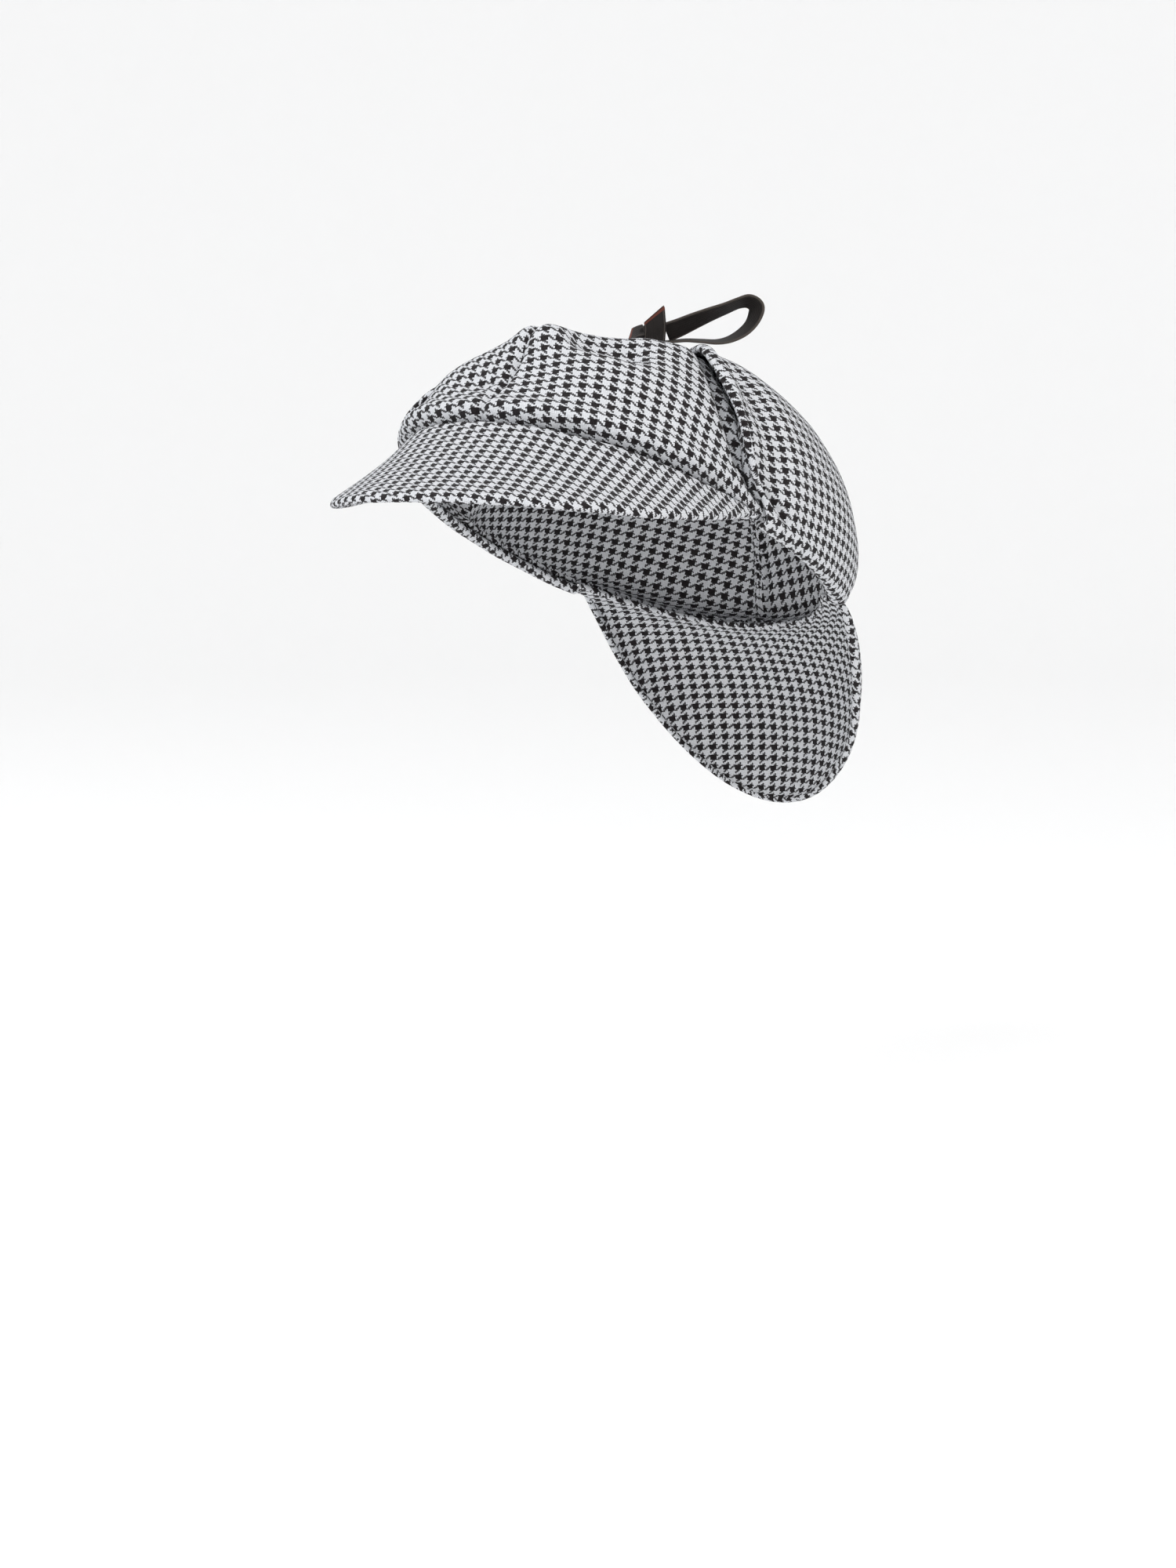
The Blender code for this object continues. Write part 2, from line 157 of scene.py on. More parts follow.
LOOP_STATIONS = (
    {"x": 0.0040, "y": 0.0014, "z": 0.0080, "turn": 26.0},
    {"x": 0.0087, "y": 0.0014, "z": 0.0098, "turn": 32.0},
    {"x": 0.0149, "y": 0.0010, "z": 0.0126, "turn": 42.0},
    {"x": 0.0210, "y": 0.0010, "z": 0.0152, "turn": 52.0},
    {"x": 0.0272, "y": 0.0010, "z": 0.0176, "turn": 60.0},
    {"x": 0.0324, "y": 0.0005, "z": 0.0197, "turn": 62.0},
    {"x": 0.0366, "y": 0.0000, "z": 0.0203, "turn": 52.0},
    {"x": 0.0396, "y": 0.0000, "z": 0.0182, "turn": 46.0},
    {"x": 0.0395, "y": 0.0005, "z": 0.0150, "turn": 50.0},
    {"x": 0.0376, "y": 0.0010, "z": 0.0109, "turn": 60.0},
    {"x": 0.0342, "y": 0.0015, "z": 0.0075, "turn": 66.0},
    {"x": 0.0293, "y": 0.0020, "z": 0.0048, "turn": 74.0},
    {"x": 0.0241, "y": 0.0026, "z": 0.0037, "turn": 80.0},
    {"x": 0.0180, "y": 0.0029, "z": 0.0040, "turn": 83.0},
    {"x": 0.0124, "y": 0.0030, "z": 0.0043, "turn": 85.0},
    {"x": 0.0080, "y": 0.0031, "z": 0.0040, "turn": 86.0},
    {"x": 0.0036, "y": 0.0032, "z": 0.0036, "turn": 87.0},
)
UPRIGHT_END_STATIONS = (
    {"x": -0.0007, "y": -0.0019, "z": 0.0024, "turn": -2.0},
    {"x": -0.0005, "y": -0.0021, "z": 0.0060, "turn": -5.0},
    {"x": -0.0003, "y": -0.0026, "z": 0.0100, "turn": -8.0},
    {"x": -0.0006, "y": -0.0028, "z": 0.0152, "turn": -10.0},
)
SIDE_END_STATIONS = (
    {"x": -0.0044, "y": 0.0008, "z": 0.0084, "turn": 58.0},
    {"x": -0.0066, "y": 0.0014, "z": 0.0078, "turn": 60.0},
    {"x": -0.0084, "y": 0.0022, "z": 0.0070, "turn": 62.0},
    {"x": -0.0100, "y": 0.0030, "z": 0.0060, "turn": 64.0},
)
UPRIGHT_END_CUT = 0.0032
SIDE_END_CUT = -0.0024

# Houndstooth: one repeat is eight threads each way, a little smaller on the crown. TOOTH_DARKNESS
# is how dark the teeth are beside the full checks. Colours are pairs that the cloth drifts between.
# A noise is a scale and a detail; a shift adds the threads' width of cloth that it moves across.
REPEAT_ACROSS = 0.0055
REPEAT_ALONG = 0.0043
CROWN_EASE = 0.93
THREADS = 8
TWILL = 4
TOOTH_DARKNESS = 0.93
LIGHT_THREADS = ((0.60, 0.61, 0.635, 1.0), (0.775, 0.785, 0.81, 1.0))
DARK_THREADS = ((0.006, 0.005, 0.006, 1.0), (0.022, 0.017, 0.018, 1.0))
# GROOVE_SHADE: painted shade, how bright the colour stays in the grooves between threads
GROOVE_SHADE = 0.72
FRAY_SHIFT = (1.6, 3.0, 1.1)
DRIFT_SHIFT = (0.09, 1.0, 1.6)
CLOUD_NOISE = (0.35, 3.0)
FUZZ_NOISE = (5.0, 3.0)
FUZZ_HEIGHT = 0.8
CLOTH_BUMP = {"Strength": 0.6, "Distance": 0.00018}
CLOTH_SURFACE = {"Roughness": 0.92, "Specular IOR Level": 0.12, "Sheen Weight": 0.05,
                 "Sheen Roughness": 0.6}

# Tape, in millimetres: its ribs and picks, paler bands along both its edges as a painted highlight,
# and the reddish fray of its cut ends. Runs with no cut end to show start CUT_CLEAR along.
RIB_SPACING = 1.1
PICK_SPACING = 0.45
EDGE_HIGHLIGHT_WIDTH = 0.35
CUT_REACH = 1.0
CUT_RAGGED = 0.9
CUT_CLEAR = 10.0
TAPE_COLOURS = ((0.0060, 0.0046, 0.0042, 1.0), (0.021, 0.017, 0.0155, 1.0))
EDGE_HIGHLIGHT_COLOUR = (0.060, 0.050, 0.043, 1.0)
CUT_COLOUR = (0.120, 0.034, 0.022, 1.0)
TAPE_GRAIN_NOISE = (2.4, 3.0)
RIB_HEIGHT = 0.6
PICK_HEIGHT = 0.25
TAPE_BUMP = {"Strength": 0.5, "Distance": 0.00012}
TAPE_SURFACE = {"Roughness": 0.72, "Specular IOR Level": 0.22, "Sheen Weight": 0.04,
                "Sheen Roughness": 0.5}

# Mesh detail: steps round a wall's edge, grid points to a cell of the flattening, and the most of
# a grid's reach by which an edge moves in
EDGE_STEPS = 6
FLATTEN_STRIDE = 6
INSET_LIMIT = 0.3

# What the sewing does to the crown: it bulges out over its seam with the peaks and tucks in at it,
# less so under the flaps (degrees from the front), and its panels lap and pucker in their seams
BULGE = 0.0034
BULGE_RISE = 0.060
BULGE_SPREAD = 0.042
TUCK = 0.0036
TUCK_SPREAD = 0.018
UNDER_FLAP = (60.0, 74.0, 127.0, 138.0)
UNDER_FLAP_BULGE = 0.2
SEAM_LAP = 0.0007
PUCKER = 0.00022
PUCKER_LENGTH = 0.013
PUCKER_SPREAD = 0.005
MERIDIAN = 1.5 * CROWN_HEIGHT

# The crevice along each flap's front edge: how strong it is (share of its depth) at each rise
CREVICE_DEPTH = 0.0050
CREVICE_PLACE = 0.0030
CREVICE_HALF_WIDTH = 0.0026
CREVICE_RISE = (0.02, 0.10, 0.42, 0.62)
CREVICE_SHARE = (0.0, 1.0, 0.6, 0.0)

# Peaks: the flange that runs in under the crown, and the turned lip of the free edge
PEAK_FLANGE = 0.0068
PEAK_FLANGE_ROWS = 4
PEAK_LIP = 0.0017
PEAK_LIP_WIDTH = 0.0042
PEAK_END_INSET = 0.0005

# Flaps: the front edge rolls under, fully from ROLL_ROWS (share of the rows) up, with a valley
# behind it. FLAP_CROWDING gathers the columns of the mesh at that edge.
ROLL_RADIUS = 0.0040
ROLL_TURN = 1.6
ROLL_LEAD = 1.7
ROLL_ROWS = 0.15
ROLL_START = 0.007
ROLL_FADE = 0.012
VALLEY_DEPTH = 0.0046
VALLEY_PLACE = 0.0125
VALLEY_SPREAD = 0.0046
VALLEY_END = 0.066
VALLEY_FADE = 0.020
FLAP_CROWDING = 1.4

# The unevenness of soft cloth
RIPPLE = 0.00045
RIPPLE_SIZE = 0.021

# Camera: the photograph's, by its distance and direction from the origin
CAMERA_AZIMUTH = math.radians(36.0)
CAMERA_ELEVATION = math.radians(2.5)
CAMERA_DISTANCE = 1.70
AIM_AZIMUTH = math.radians(36.433)
AIM_DOWN = math.radians(5.836)
LENS = 100.06
SENSOR_WIDTH = 36.0
CLIP_END = 100.0

# Studio: floor and wall in one sweep, open above to an even sky, and soft lamps aimed at the hat
FLOOR_Z = -0.24
SWEEP_START = 2.4
SWEEP_RADIUS = 1.6
WALL_TOP = 3.4
SWEEP_SIDES = 96
SWEEP_STEPS = 12
FLOOR_RINGS = (0.0, 0.5, 1.5)
BACKDROP_SURFACE = {"Base Color": (0.93, 0.93, 0.93, 1.0), "Roughness": 0.95,
                    "Specular IOR Level": 0.1}
SKY_STRENGTH = 1.0
AREA_LIGHTS = (
    {"name": "key", "place": (0.1, -1.7, 1.35), "size": (0.9, 0.9), "power": 13.8,
     "colour": (0.93, 0.96, 1.0)},
    {"name": "side", "place": (-1.7, -0.9, 0.6), "size": (0.8, 1.2), "power": 6.4,
     "colour": (0.97, 0.985, 1.0)},
    {"name": "fill", "place": (1.7, -0.5, 0.8), "size": (0.8, 1.2), "power": 8.6,
     "colour": (1.0, 0.985, 0.97)},
)


def signed_power(value, power):
    return np.sign(value) * np.abs(value) ** power


def unit(vectors):
    length = np.linalg.norm(vectors, axis=-1, keepdims=True)
    return vectors / np.maximum(length, TINY)


def points_of(*columns):
    return np.stack(np.broadcast_arrays(*columns), axis=-1)


def rim_point(theta):
    """Outer edge of the rim: level, a little lifted at the front."""
    power = 2.0 / RIM_SQUARENESS
    ahead = np.cos(theta)
    half_length = np.where(ahead > 0.0, RIM_HALF_LENGTH_FRONT, RIM_HALF_LENGTH_BACK)
    return points_of(
        RIM_HALF_WIDTH * signed_power(np.sin(theta), power),
        -half_length * signed_power(ahead, power),
        RIM_FRONT_LIFT * np.maximum(ahead, 0.0),
    )


def rim_outward(theta):
    """Level direction out of the hat, square to the rim."""
    step = 0.01
    along = rim_point(theta + step) - rim_point(theta - step)
    return unit(points_of(along[..., 1], -along[..., 0], 0.0))


def crown_form(theta, rise):
    """The smooth dome that the panels follow."""
    angle = rise * math.pi / 2.0
    power = 2.0 / CROWN_FULLNESS
    spread = np.maximum(np.cos(angle), 0.0) ** power
    height = np.sin(angle) ** power
    rim = rim_point(theta)
    return points_of(
        rim[..., 0] * spread,
        rim[..., 1] * spread + APEX_Y * (1.0 - spread),
        CROWN_HEIGHT * height + rim[..., 2] * (1.0 - height),
    )


def crown_outward(theta, rise):
    step = 0.004
    low = np.maximum(rise - step, 0.001)
    high = np.minimum(rise + step, 0.999)
    around = crown_form(theta + step, rise) - crown_form(theta - step, rise)
    upward = crown_form(theta, high) - crown_form(theta, low)
    return unit(np.cross(around, upward))


def fold_depth(points):
    """How far the folds press the crown in at points of its dome."""
    depth = np.zeros(points.shape[:-1])
    for fold in CROWN_FOLDS:
        start, end = crown_form(np.radians(fold["theta"]), np.array(fold["rise"]))
        along = end - start
        share = np.clip((points - start) @ along / (along @ along), 0.0, 1.0)
        away = np.linalg.norm(points - start - share[..., None] * along, axis=-1)
        depth += fold["depth"] * np.exp(-((away / fold["half_width"]) ** 2))
    return depth


def ring_radius(points):
    """Distance of points of the crown from the upright line through the apex."""
    return np.hypot(points[..., 0], points[..., 1] - APEX_Y)


def crevice_depth(theta, rise, radius):
    """How far the crown is drawn in along the front edges of the turned-up flaps."""
    window = np.interp(rise, CREVICE_RISE, CREVICE_SHARE)
    depth = np.zeros_like(rise)
    for sections, edge_side in ((LEFT_FLAP, 1.0), (RIGHT_FLAP, -1.0)):
        rises = [section["rise"] for section in sections]
        leads = [section["lead"] for section in sections]
        edge = np.radians(np.interp(rise, rises, leads) - ROLL_LEAD) * edge_side
        turn = (theta - edge + math.pi) % (2.0 * math.pi) - math.pi
        away = turn * radius * edge_side - CREVICE_PLACE
        depth += np.exp(-((away / CREVICE_HALF_WIDTH) ** 2))
    return CREVICE_DEPTH * window * depth


def crown_surface(theta, rise):
    """Outer face of the sewn crown: puffed panels, sunk seams and the folds."""
    points = crown_form(theta, rise)
    across = (theta / PANEL_ANGLE) % 1.0
    seam_distance = np.minimum(across, 1.0 - across) * PANEL_ANGLE * ring_radius(points)
    puff = PANEL_PUFF * np.sin(math.pi * across) * np.sin(math.pi * rise)
    sink = SEAM_DEPTH * np.exp(-((seam_distance / SEAM_HALF_WIDTH) ** 2))
    sink = sink * np.cos(rise * math.pi / 2.0) ** 0.5
    pucker = PUCKER * np.sin(2.0 * math.pi * rise * MERIDIAN / PUCKER_LENGTH)
    pucker = pucker * np.exp(-((seam_distance / PUCKER_SPREAD) ** 2))
    bulge = BULGE * np.exp(-(((rise - BULGE_RISE) / BULGE_SPREAD) ** 2))
    bulge = bulge - TUCK * np.exp(-((rise / TUCK_SPREAD) ** 2))
    from_front = np.abs((theta + math.pi) % (2.0 * math.pi) - math.pi)
    bulge = bulge * np.interp(from_front, np.radians(UNDER_FLAP),
                              (1.0, UNDER_FLAP_BULGE, UNDER_FLAP_BULGE, 1.0))
    out = puff - sink + pucker + bulge - fold_depth(points)
    out = out - crevice_depth(theta, rise, ring_radius(points))
    return points + crown_outward(theta, rise) * out[..., None]


def panel_grid(index):
    rise = np.linspace(0.0, PANEL_TOP_RISE, PANEL_ROWS + 1)[:, None]
    edge = 1e-5
    theta = (index + np.linspace(edge, 1.0 - edge, PANEL_COLUMNS + 1)[None, :]) * PANEL_ANGLE
    return crown_surface(*np.broadcast_arrays(theta, rise))


def peak_seam(theta):
    """Where the top face of a peak leaves the rim."""
    return rim_point(theta) - np.array((0.0, 0.0, SEAT_GAP))


def front_peak_points(share, out):
    """share runs from -1 to 1 round the rim, out from 0 at the seam to 1 at the free edge."""
    peak = FRONT_PEAK
    theta = np.radians(peak["middle"] + peak["half_span"] * share)
    slope = np.radians(peak["slope"] + peak["side_slope"] * share ** 2 + peak["twist"] * share)
    flare = math.radians(peak["flare"])
    length = peak["length"] * np.maximum(np.cos(share * math.pi / 2.0), 0.0) ** peak["fullness"]
    level = length * (np.sin(slope + flare * out) - np.sin(slope)) / flare
    down = length * (np.cos(slope) - np.cos(slope + flare * out)) / flare
    reach = rim_outward(theta) * level[..., None]
    return peak_seam(theta) + reach - points_of(0.0, 0.0, down)


def back_peak_points(share, out):
    """share runs from -1 to 1 round the rim, out from 0 at the seam to 1 at the free edge."""
    peak = BACK_PEAK
    corners = np.radians(peak["corners"])
    theta = corners[0] + (corners[1] - corners[0]) * (share + 1.0) / 2.0
    first, second = rim_point(corners)
    turn = share * math.pi / 2.0
    bow = np.maximum(np.cos(turn), 0.0)
    edge = (first + second) / 2.0 + np.sin(turn)[..., None] * (second - first) / 2.0
    edge = edge + points_of(0.0, peak["reach"] * bow, -peak["drop"] * bow - SEAT_GAP)
    swell = peak["swell"] * 4.0 * out * (1.0 - out) * bow ** peak["swell_fullness"]
    lift = unit(rim_outward(theta) + np.array((0.0, 0.0, 1.0))) * swell[..., None]
    return peak_seam(theta) * (1.0 - out[..., None]) + edge * out[..., None] + lift


def peak_grid(surface):
    """Upper face of a peak, in rows from the free edge to the seam."""
    out = np.linspace(1.0, 0.0, PEAK_ROWS + 1)[:, None]
    share = np.linspace(-1.0, 1.0, PEAK_COLUMNS + 1)[None, :]
    face = surface(*np.broadcast_arrays(share, out))
    steps = np.linalg.norm(np.diff(face, axis=0), axis=2)
    reach = np.concatenate([np.zeros((1, face.shape[1])), np.cumsum(steps, axis=0)])
    lip = np.maximum(1.0 - reach / PEAK_LIP_WIDTH, 0.0) ** 2
    lip = lip * np.minimum(reach[-1] / (3.0 * PEAK_LIP_WIDTH), 1.0)
    face = face - grid_normals(face) * (PEAK_LIP * lip)[..., None]
    inward = unit(face[-1] * np.array((-1.0, -1.0, 0.0)))
    steps = np.arange(1, PEAK_FLANGE_ROWS + 1)[:, None, None] / PEAK_FLANGE_ROWS
    flange = face[-1] + steps * (inward * PEAK_FLANGE + np.array((0.0, 0.0, SEAT_GAP)))
    return np.concatenate([face, flange])


def spline_value(values, share):
    """Smooth value between the second and third of four evenly spaced values."""
    before, start, end, after = values
    return 0.5 * (
        2.0 * start + (end - before) * share
        + (2.0 * before - 5.0 * start + 4.0 * end - after) * share ** 2
        + (3.0 * start - before - 3.0 * end + after) * share ** 3
    )


def smooth_row(table, place):
    """The table's columns at a place counted in rows, smoothed between the rows."""
    last = len(table) - 1
    index = min(int(place), last - 1)
    near = [table[max(0, min(last, index + shift))] for shift in (-1, 0, 1, 2)]
    return {column: spline_value([row[column] for row in near], place - index)
            for column in table[0]}


def rolled_lead(grid):
    """The flap's grid with its front edge rolled under, and a valley along behind the roll."""
    upward = np.linalg.norm(np.diff(grid, axis=0), axis=2).mean(axis=1)
    height = np.concatenate([[0.0], np.cumsum(upward)])
    share = np.clip((height - ROLL_START) / ROLL_FADE, 0.0, 1.0)
    share = share * share * (3.0 - 2.0 * share)
    sunk = VALLEY_DEPTH * share * np.clip((VALLEY_END - height) / VALLEY_FADE, 0.0, 1.0)
    normals = grid_normals(grid)
    result = grid.copy()
    for row, (points, outward) in enumerate(zip(grid, normals)):
        steps = np.linalg.norm(np.diff(points, axis=0), axis=1)
        reach = np.concatenate([[0.0], np.cumsum(steps)])
        valley = sunk[row] * np.exp(-(((reach - VALLEY_PLACE) / VALLEY_SPREAD) ** 2))
        points = points - outward * valley[:, None]
        turn = ROLL_TURN * share[row]
        width = ROLL_RADIUS * turn
        if width > 0.0:
            base, normal, ahead = [
                np.array([np.interp(at, reach, values[:, axis]) for axis in range(3)])
                for values, at in ((points, width), (outward, width), (points, width + 0.002))
            ]
            along = unit(ahead - base)
            inside = reach < width
            bend = (width - reach[inside])[:, None] / ROLL_RADIUS
            points[inside] = (base - along * ROLL_RADIUS * np.sin(bend)
                              - normal * ROLL_RADIUS * (1.0 - np.cos(bend)))
        result[row] = points
    return result


def flap_grid(sections, side):
    """Outer face of a turned-up flap; side is 1 for the wearer's left and -1 for the right."""
    rows = []
    fold = sections[0]
    wall_middle = PANEL_THICKNESS / 2.0
    radius = fold["stand"] + wall_middle
    across = np.linspace(0.0, 1.0, FLAP_COLUMNS + 1)
    across = np.expm1(FLAP_CROWDING * across) / math.expm1(FLAP_CROWDING)
    theta = np.radians(fold["lead"] + (fold["trail"] - fold["lead"]) * across)
    out = rim_outward(theta)
    for step in range(FLAP_FOLD_ROWS):
        turn = -FLAP_FOLD_TURN * (1.0 - step / FLAP_FOLD_ROWS)
        points = rim_point(theta) + out * (radius * math.cos(turn) - wall_middle)
        points[:, 2] += radius * math.sin(turn)
        rows.append(points)
    for row in range(FLAP_ROWS + 1):
        section = smooth_row(sections, (len(sections) - 1) * row / FLAP_ROWS)
        lead = section["lead"] - ROLL_LEAD * min(row / (FLAP_ROWS * ROLL_ROWS), 1.0)
        theta = np.radians(lead + (section["trail"] - lead) * across)
        rise = np.full_like(theta, section["rise"])
        seat = crown_form(theta, rise)
        near_lead = np.exp(-((across / LEAD_LIFT_WIDTH) ** 2))
        stand = section["stand"] + (section["lead_stand"] - section["stand"]) * near_lead
        stand = stand - fold_depth(seat * np.array((side, 1.0, 1.0)))
        rows.append(seat + crown_outward(theta, rise) * stand[:, None])
    grid = rolled_lead(np.array(rows)) * np.array((side, 1.0, 1.0))
    return grid[:, ::-1] if side < 0.0 else grid


def tape_grid(stations, end_cut):
    """Face of a flat tape along its stations; end_cut slants its last edge."""
    steps = TAPE_STEPS * (len(stations) - 1)
    path = [smooth_row(stations, step / TAPE_STEPS) for step in range(steps + 1)]
    middles = np.array([(row["x"], row["y"], row["z"]) for row in path])
    shares = np.linspace(-1.0, 1.0, TAPE_COLUMNS + 1)[:, None]
    rows = []
    for index, row in enumerate(path):
        along = middles[min(index + 1, steps)] - middles[max(index - 1, 0)]
        along = unit(along * np.array((1.0, 0.0, 1.0)))
        turn = math.radians(row["turn"])
        across = np.array((-along[2], 0.0, along[0])) * math.cos(turn)
        across = across - np.array((0.0, math.sin(turn), 0.0))
        slant = along * end_cut * index / steps
        rows.append(middles[index] + (across * TAPE_WIDTH / 2.0 - slant) * shares)
    return np.array(rows)


def respaced(grid, start, end):
    """The grid with its first and last rows moved in by start and end, and rows even again."""
    steps = np.linalg.norm(np.diff(grid, axis=0), axis=2)
    reach = np.concatenate([np.zeros((1, grid.shape[1])), np.cumsum(steps, axis=0)])
    total = reach[-1]
    low = np.minimum(start, total * INSET_LIMIT)
    high = total - np.minimum(end, total * INSET_LIMIT)
    shares = np.linspace(0.0, 1.0, len(grid))[:, None]
    wanted = low + (high - low) * shares
    result = np.empty_like(grid)
    for column in range(grid.shape[1]):
        for axis in range(3):
            result[:, column, axis] = np.interp(
                wanted[:, column], reach[:, column], grid[:, column, axis])
    return result


def inset(grid, rows, columns):
    """The grid with its edges moved in, so that its rounded edge ends where the grid did."""
    grid = respaced(grid, *rows)
    return respaced(grid.transpose(1, 0, 2), *columns).transpose(1, 0, 2)


def grid_normals(grid):
    return unit(np.cross(np.gradient(grid, axis=1), np.gradient(grid, axis=0)))


def rippled(grid):
    """The grid with the slight unevenness of soft cloth; neighbours move together."""
    places = grid.reshape(-1, 3) / RIPPLE_SIZE
    lift = np.array([noise.noise(Vector(place)) for place in places.tolist()])
    lift = lift.reshape(grid.shape[:2])
    return grid + grid_normals(grid) * (RIPPLE * lift)[..., None]


def lay_flat(grid):
    """Flat places of the grid's points in metres, by least-squares conformal flattening.

    The middle column stands upright."""
    rows = np.unique(np.append(np.arange(0, grid.shape[0], FLATTEN_STRIDE), grid.shape[0] - 1))
    columns = np.unique(np.append(np.arange(0, grid.shape[1], FLATTEN_STRIDE), grid.shape[1] - 1))
    coarse = grid[np.ix_(rows, columns)]
    height, width = coarse.shape[:2]
    points = coarse.reshape(-1, 3)
    corner = (np.arange(height - 1)[:, None] * width + np.arange(width - 1)[None, :]).ravel()
    triangles = np.concatenate([
        np.stack([corner, corner + 1, corner + width + 1], axis=1),
        np.stack([corner, corner + width + 1, corner + width], axis=1),
    ])
    first, second, third = points[triangles].transpose(1, 0, 2)
    along = unit(second - first)
    normal = np.cross(second - first, third - first)
    twice_area = np.maximum(np.linalg.norm(normal, axis=1), TINY)
    upward = np.cross(unit(normal), along)
    flat = np.zeros((len(triangles), 3), complex)
    flat[:, 1] = np.linalg.norm(second - first, axis=1)
    flat[:, 2] = np.sum((third - first) * along, axis=1)
    flat[:, 2] += 1j * np.sum((third - first) * upward, axis=1)
    weights = (np.roll(flat, -2, axis=1) - np.roll(flat, -1, axis=1)) / np.sqrt(twice_area)[:, None]
    equations = np.zeros((len(triangles), len(points)), complex)
    for place in range(3):
        equations[np.arange(len(triangles)), triangles[:, place]] += weights[:, place]
    low = width // 2
    high = (height - 1) * width + width // 2
    pins = {low: 0.0, high: 1j * np.linalg.norm(points[high] - points[low])}
    free = [index for index in range(len(points)) if index not in pins]
    known = sum(equations[:, index] * value for index, value in pins.items())
    solved = np.zeros(len(points), complex)
    solved[free] = np.linalg.lstsq(equations[:, free], -known, rcond=None)[0]
    for index, value in pins.items():
        solved[index] = value
    a, b, c = solved[triangles].T
    flat_area = np.abs(np.imag((b - a) * np.conj(c - a))).sum()
    solved *= math.sqrt(twice_area.sum() / flat_area)
    solved = solved.reshape(height, width)
    full_rows = np.arange(grid.shape[0])
    full_columns = np.arange(grid.shape[1])
    tall = np.stack([np.interp(full_rows, rows, column) for column in solved.T], axis=1)
    return np.stack([np.interp(full_columns, columns, row) for row in tall])


def boundary(height, width):
    """Places of a grid's edge points, anticlockwise from its first corner."""
    bottom = [(0, column) for column in range(width - 1)]
    right = [(row, width - 1) for row in range(height - 1)]
    top = [(height - 1, column) for column in range(width - 1, 0, -1)]
    left = [(row, 0) for row in range(height - 1, 0, -1)]
    return np.array(bottom + right + top + left)


def wall_mesh(name, outer, thickness, flat, repeat):
    """A closed wall with round edges. flat holds the cloth's flat places as complex numbers."""
    height, width = outer.shape[:2]
    inner = outer - grid_normals(outer) * thickness
    edge = boundary(height, width)
    edge_index = edge[:, 0] * width + edge[:, 1]
    edge_outer = outer[edge[:, 0], edge[:, 1]]
    edge_inner = inner[edge[:, 0], edge[:, 1]]
    middle = (edge_outer + edge_inner) / 2.0
    out = (edge_outer - edge_inner) / 2.0
    along = np.roll(edge_outer, -1, axis=0) - np.roll(edge_outer, 1, axis=0)
    side = unit(np.cross(along, out)) * np.linalg.norm(out, axis=1, keepdims=True)
    edge_flat = flat[edge[:, 0], edge[:, 1]]
    flat_along = np.roll(edge_flat, -1) - np.roll(edge_flat, 1)
    flat_out = -1j * flat_along / np.maximum(np.abs(flat_along), TINY)

    count = height * width
    loop = len(edge)
    rings = []
    ring_flat = [edge_flat]
    for step in range(1, EDGE_STEPS):
        turn = math.pi * step / EDGE_STEPS
        rings.append(middle + out * math.cos(turn) + side * math.sin(turn))
        ring_flat.append(edge_flat + flat_out * turn * thickness / 2.0)
    ring_flat.append(edge_flat + flat_out * math.pi * thickness / 2.0)
    vertices = np.concatenate([outer.reshape(-1, 3), inner.reshape(-1, 3)] + rings)

    corner = (np.arange(height - 1)[:, None] * width + np.arange(width - 1)[None, :]).ravel()
    quads = np.stack([corner, corner + 1, corner + width + 1, corner + width], axis=1)
    ring_index = [edge_index]
    ring_index += [2 * count + step * loop + np.arange(loop) for step in range(EDGE_STEPS - 1)]
    ring_index.append(edge_index + count)
    faces = [quads, quads[:, ::-1] + count]
    flat_points = flat.ravel()
    corner_flat = [flat_points[quads], flat_points[quads[:, ::-1]]]
    for step in range(EDGE_STEPS):
        near, far = ring_index[step], ring_index[step + 1]
        near_flat, far_flat = ring_flat[step], ring_flat[step + 1]
        faces.append(np.stack([near, far, np.roll(far, -1), np.roll(near, -1)], axis=1))
        corner_flat.append(np.stack(
            [near_flat, far_flat, np.roll(far_flat, -1), np.roll(near_flat, -1)], axis=1))

    mesh = bpy.data.meshes.new(name)
    mesh.from_pydata(vertices.tolist(), [], np.concatenate(faces).tolist())
    layer = mesh.uv_layers.new(name="weave")
    places = np.concatenate(corner_flat).ravel()
    weave = np.stack([places.real / repeat[0], places.imag / repeat[1]], axis=1)
    layer.data.foreach_set("uv", weave.astype(np.float32).ravel())
    mesh.shade_smooth()
    return mesh


def leaned(points):
    """Points of the level hat in the worn hat's place."""
    cos_lean, sin_lean = math.cos(WORN_LEAN), math.sin(WORN_LEAN)
    turn = np.array(((1.0, 0.0, 0.0), (0.0, cos_lean, sin_lean), (0.0, -sin_lean, cos_lean)))
    return points @ turn.T


def tied(points):
    """Points in the tie's own axes in the worn hat's place."""
    cos_turn, sin_turn = math.cos(TIE_TURN), math.sin(TIE_TURN)
    turn = np.array(((cos_turn, -sin_turn, 0.0), (sin_turn, cos_turn, 0.0), (0.0, 0.0, 1.0)))
    apex = leaned(crown_form(np.array(0.0), np.array(1.0)))
    return points @ turn.T + apex + np.array(TIE_OFFSET)


def add_piece(node, mesh, material):
    """The mesh as the piece that stands for the node."""
    piece = bpy.data.objects.new(mesh.name, mesh)
    bpy.context.scene.collection.objects.link(piece)
    mesh.materials.append(material)
    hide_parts(node)
    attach(piece, "root")
    return piece


def add_cloth(node, grid, thickness, grain, material, rows=None, columns=None, ease=1.0):
    half = thickness / 2.0
    grid = rippled(inset(grid, rows or (half, half), columns or (half, half)))
    flat = lay_flat(grid) * np.exp(1j * math.radians(grain))
    repeat = (REPEAT_ACROSS * ease, REPEAT_ALONG * ease)
    mesh = wall_mesh(node + "_cloth", leaned(grid), thickness, flat, repeat)
    return add_piece(node, mesh, material)


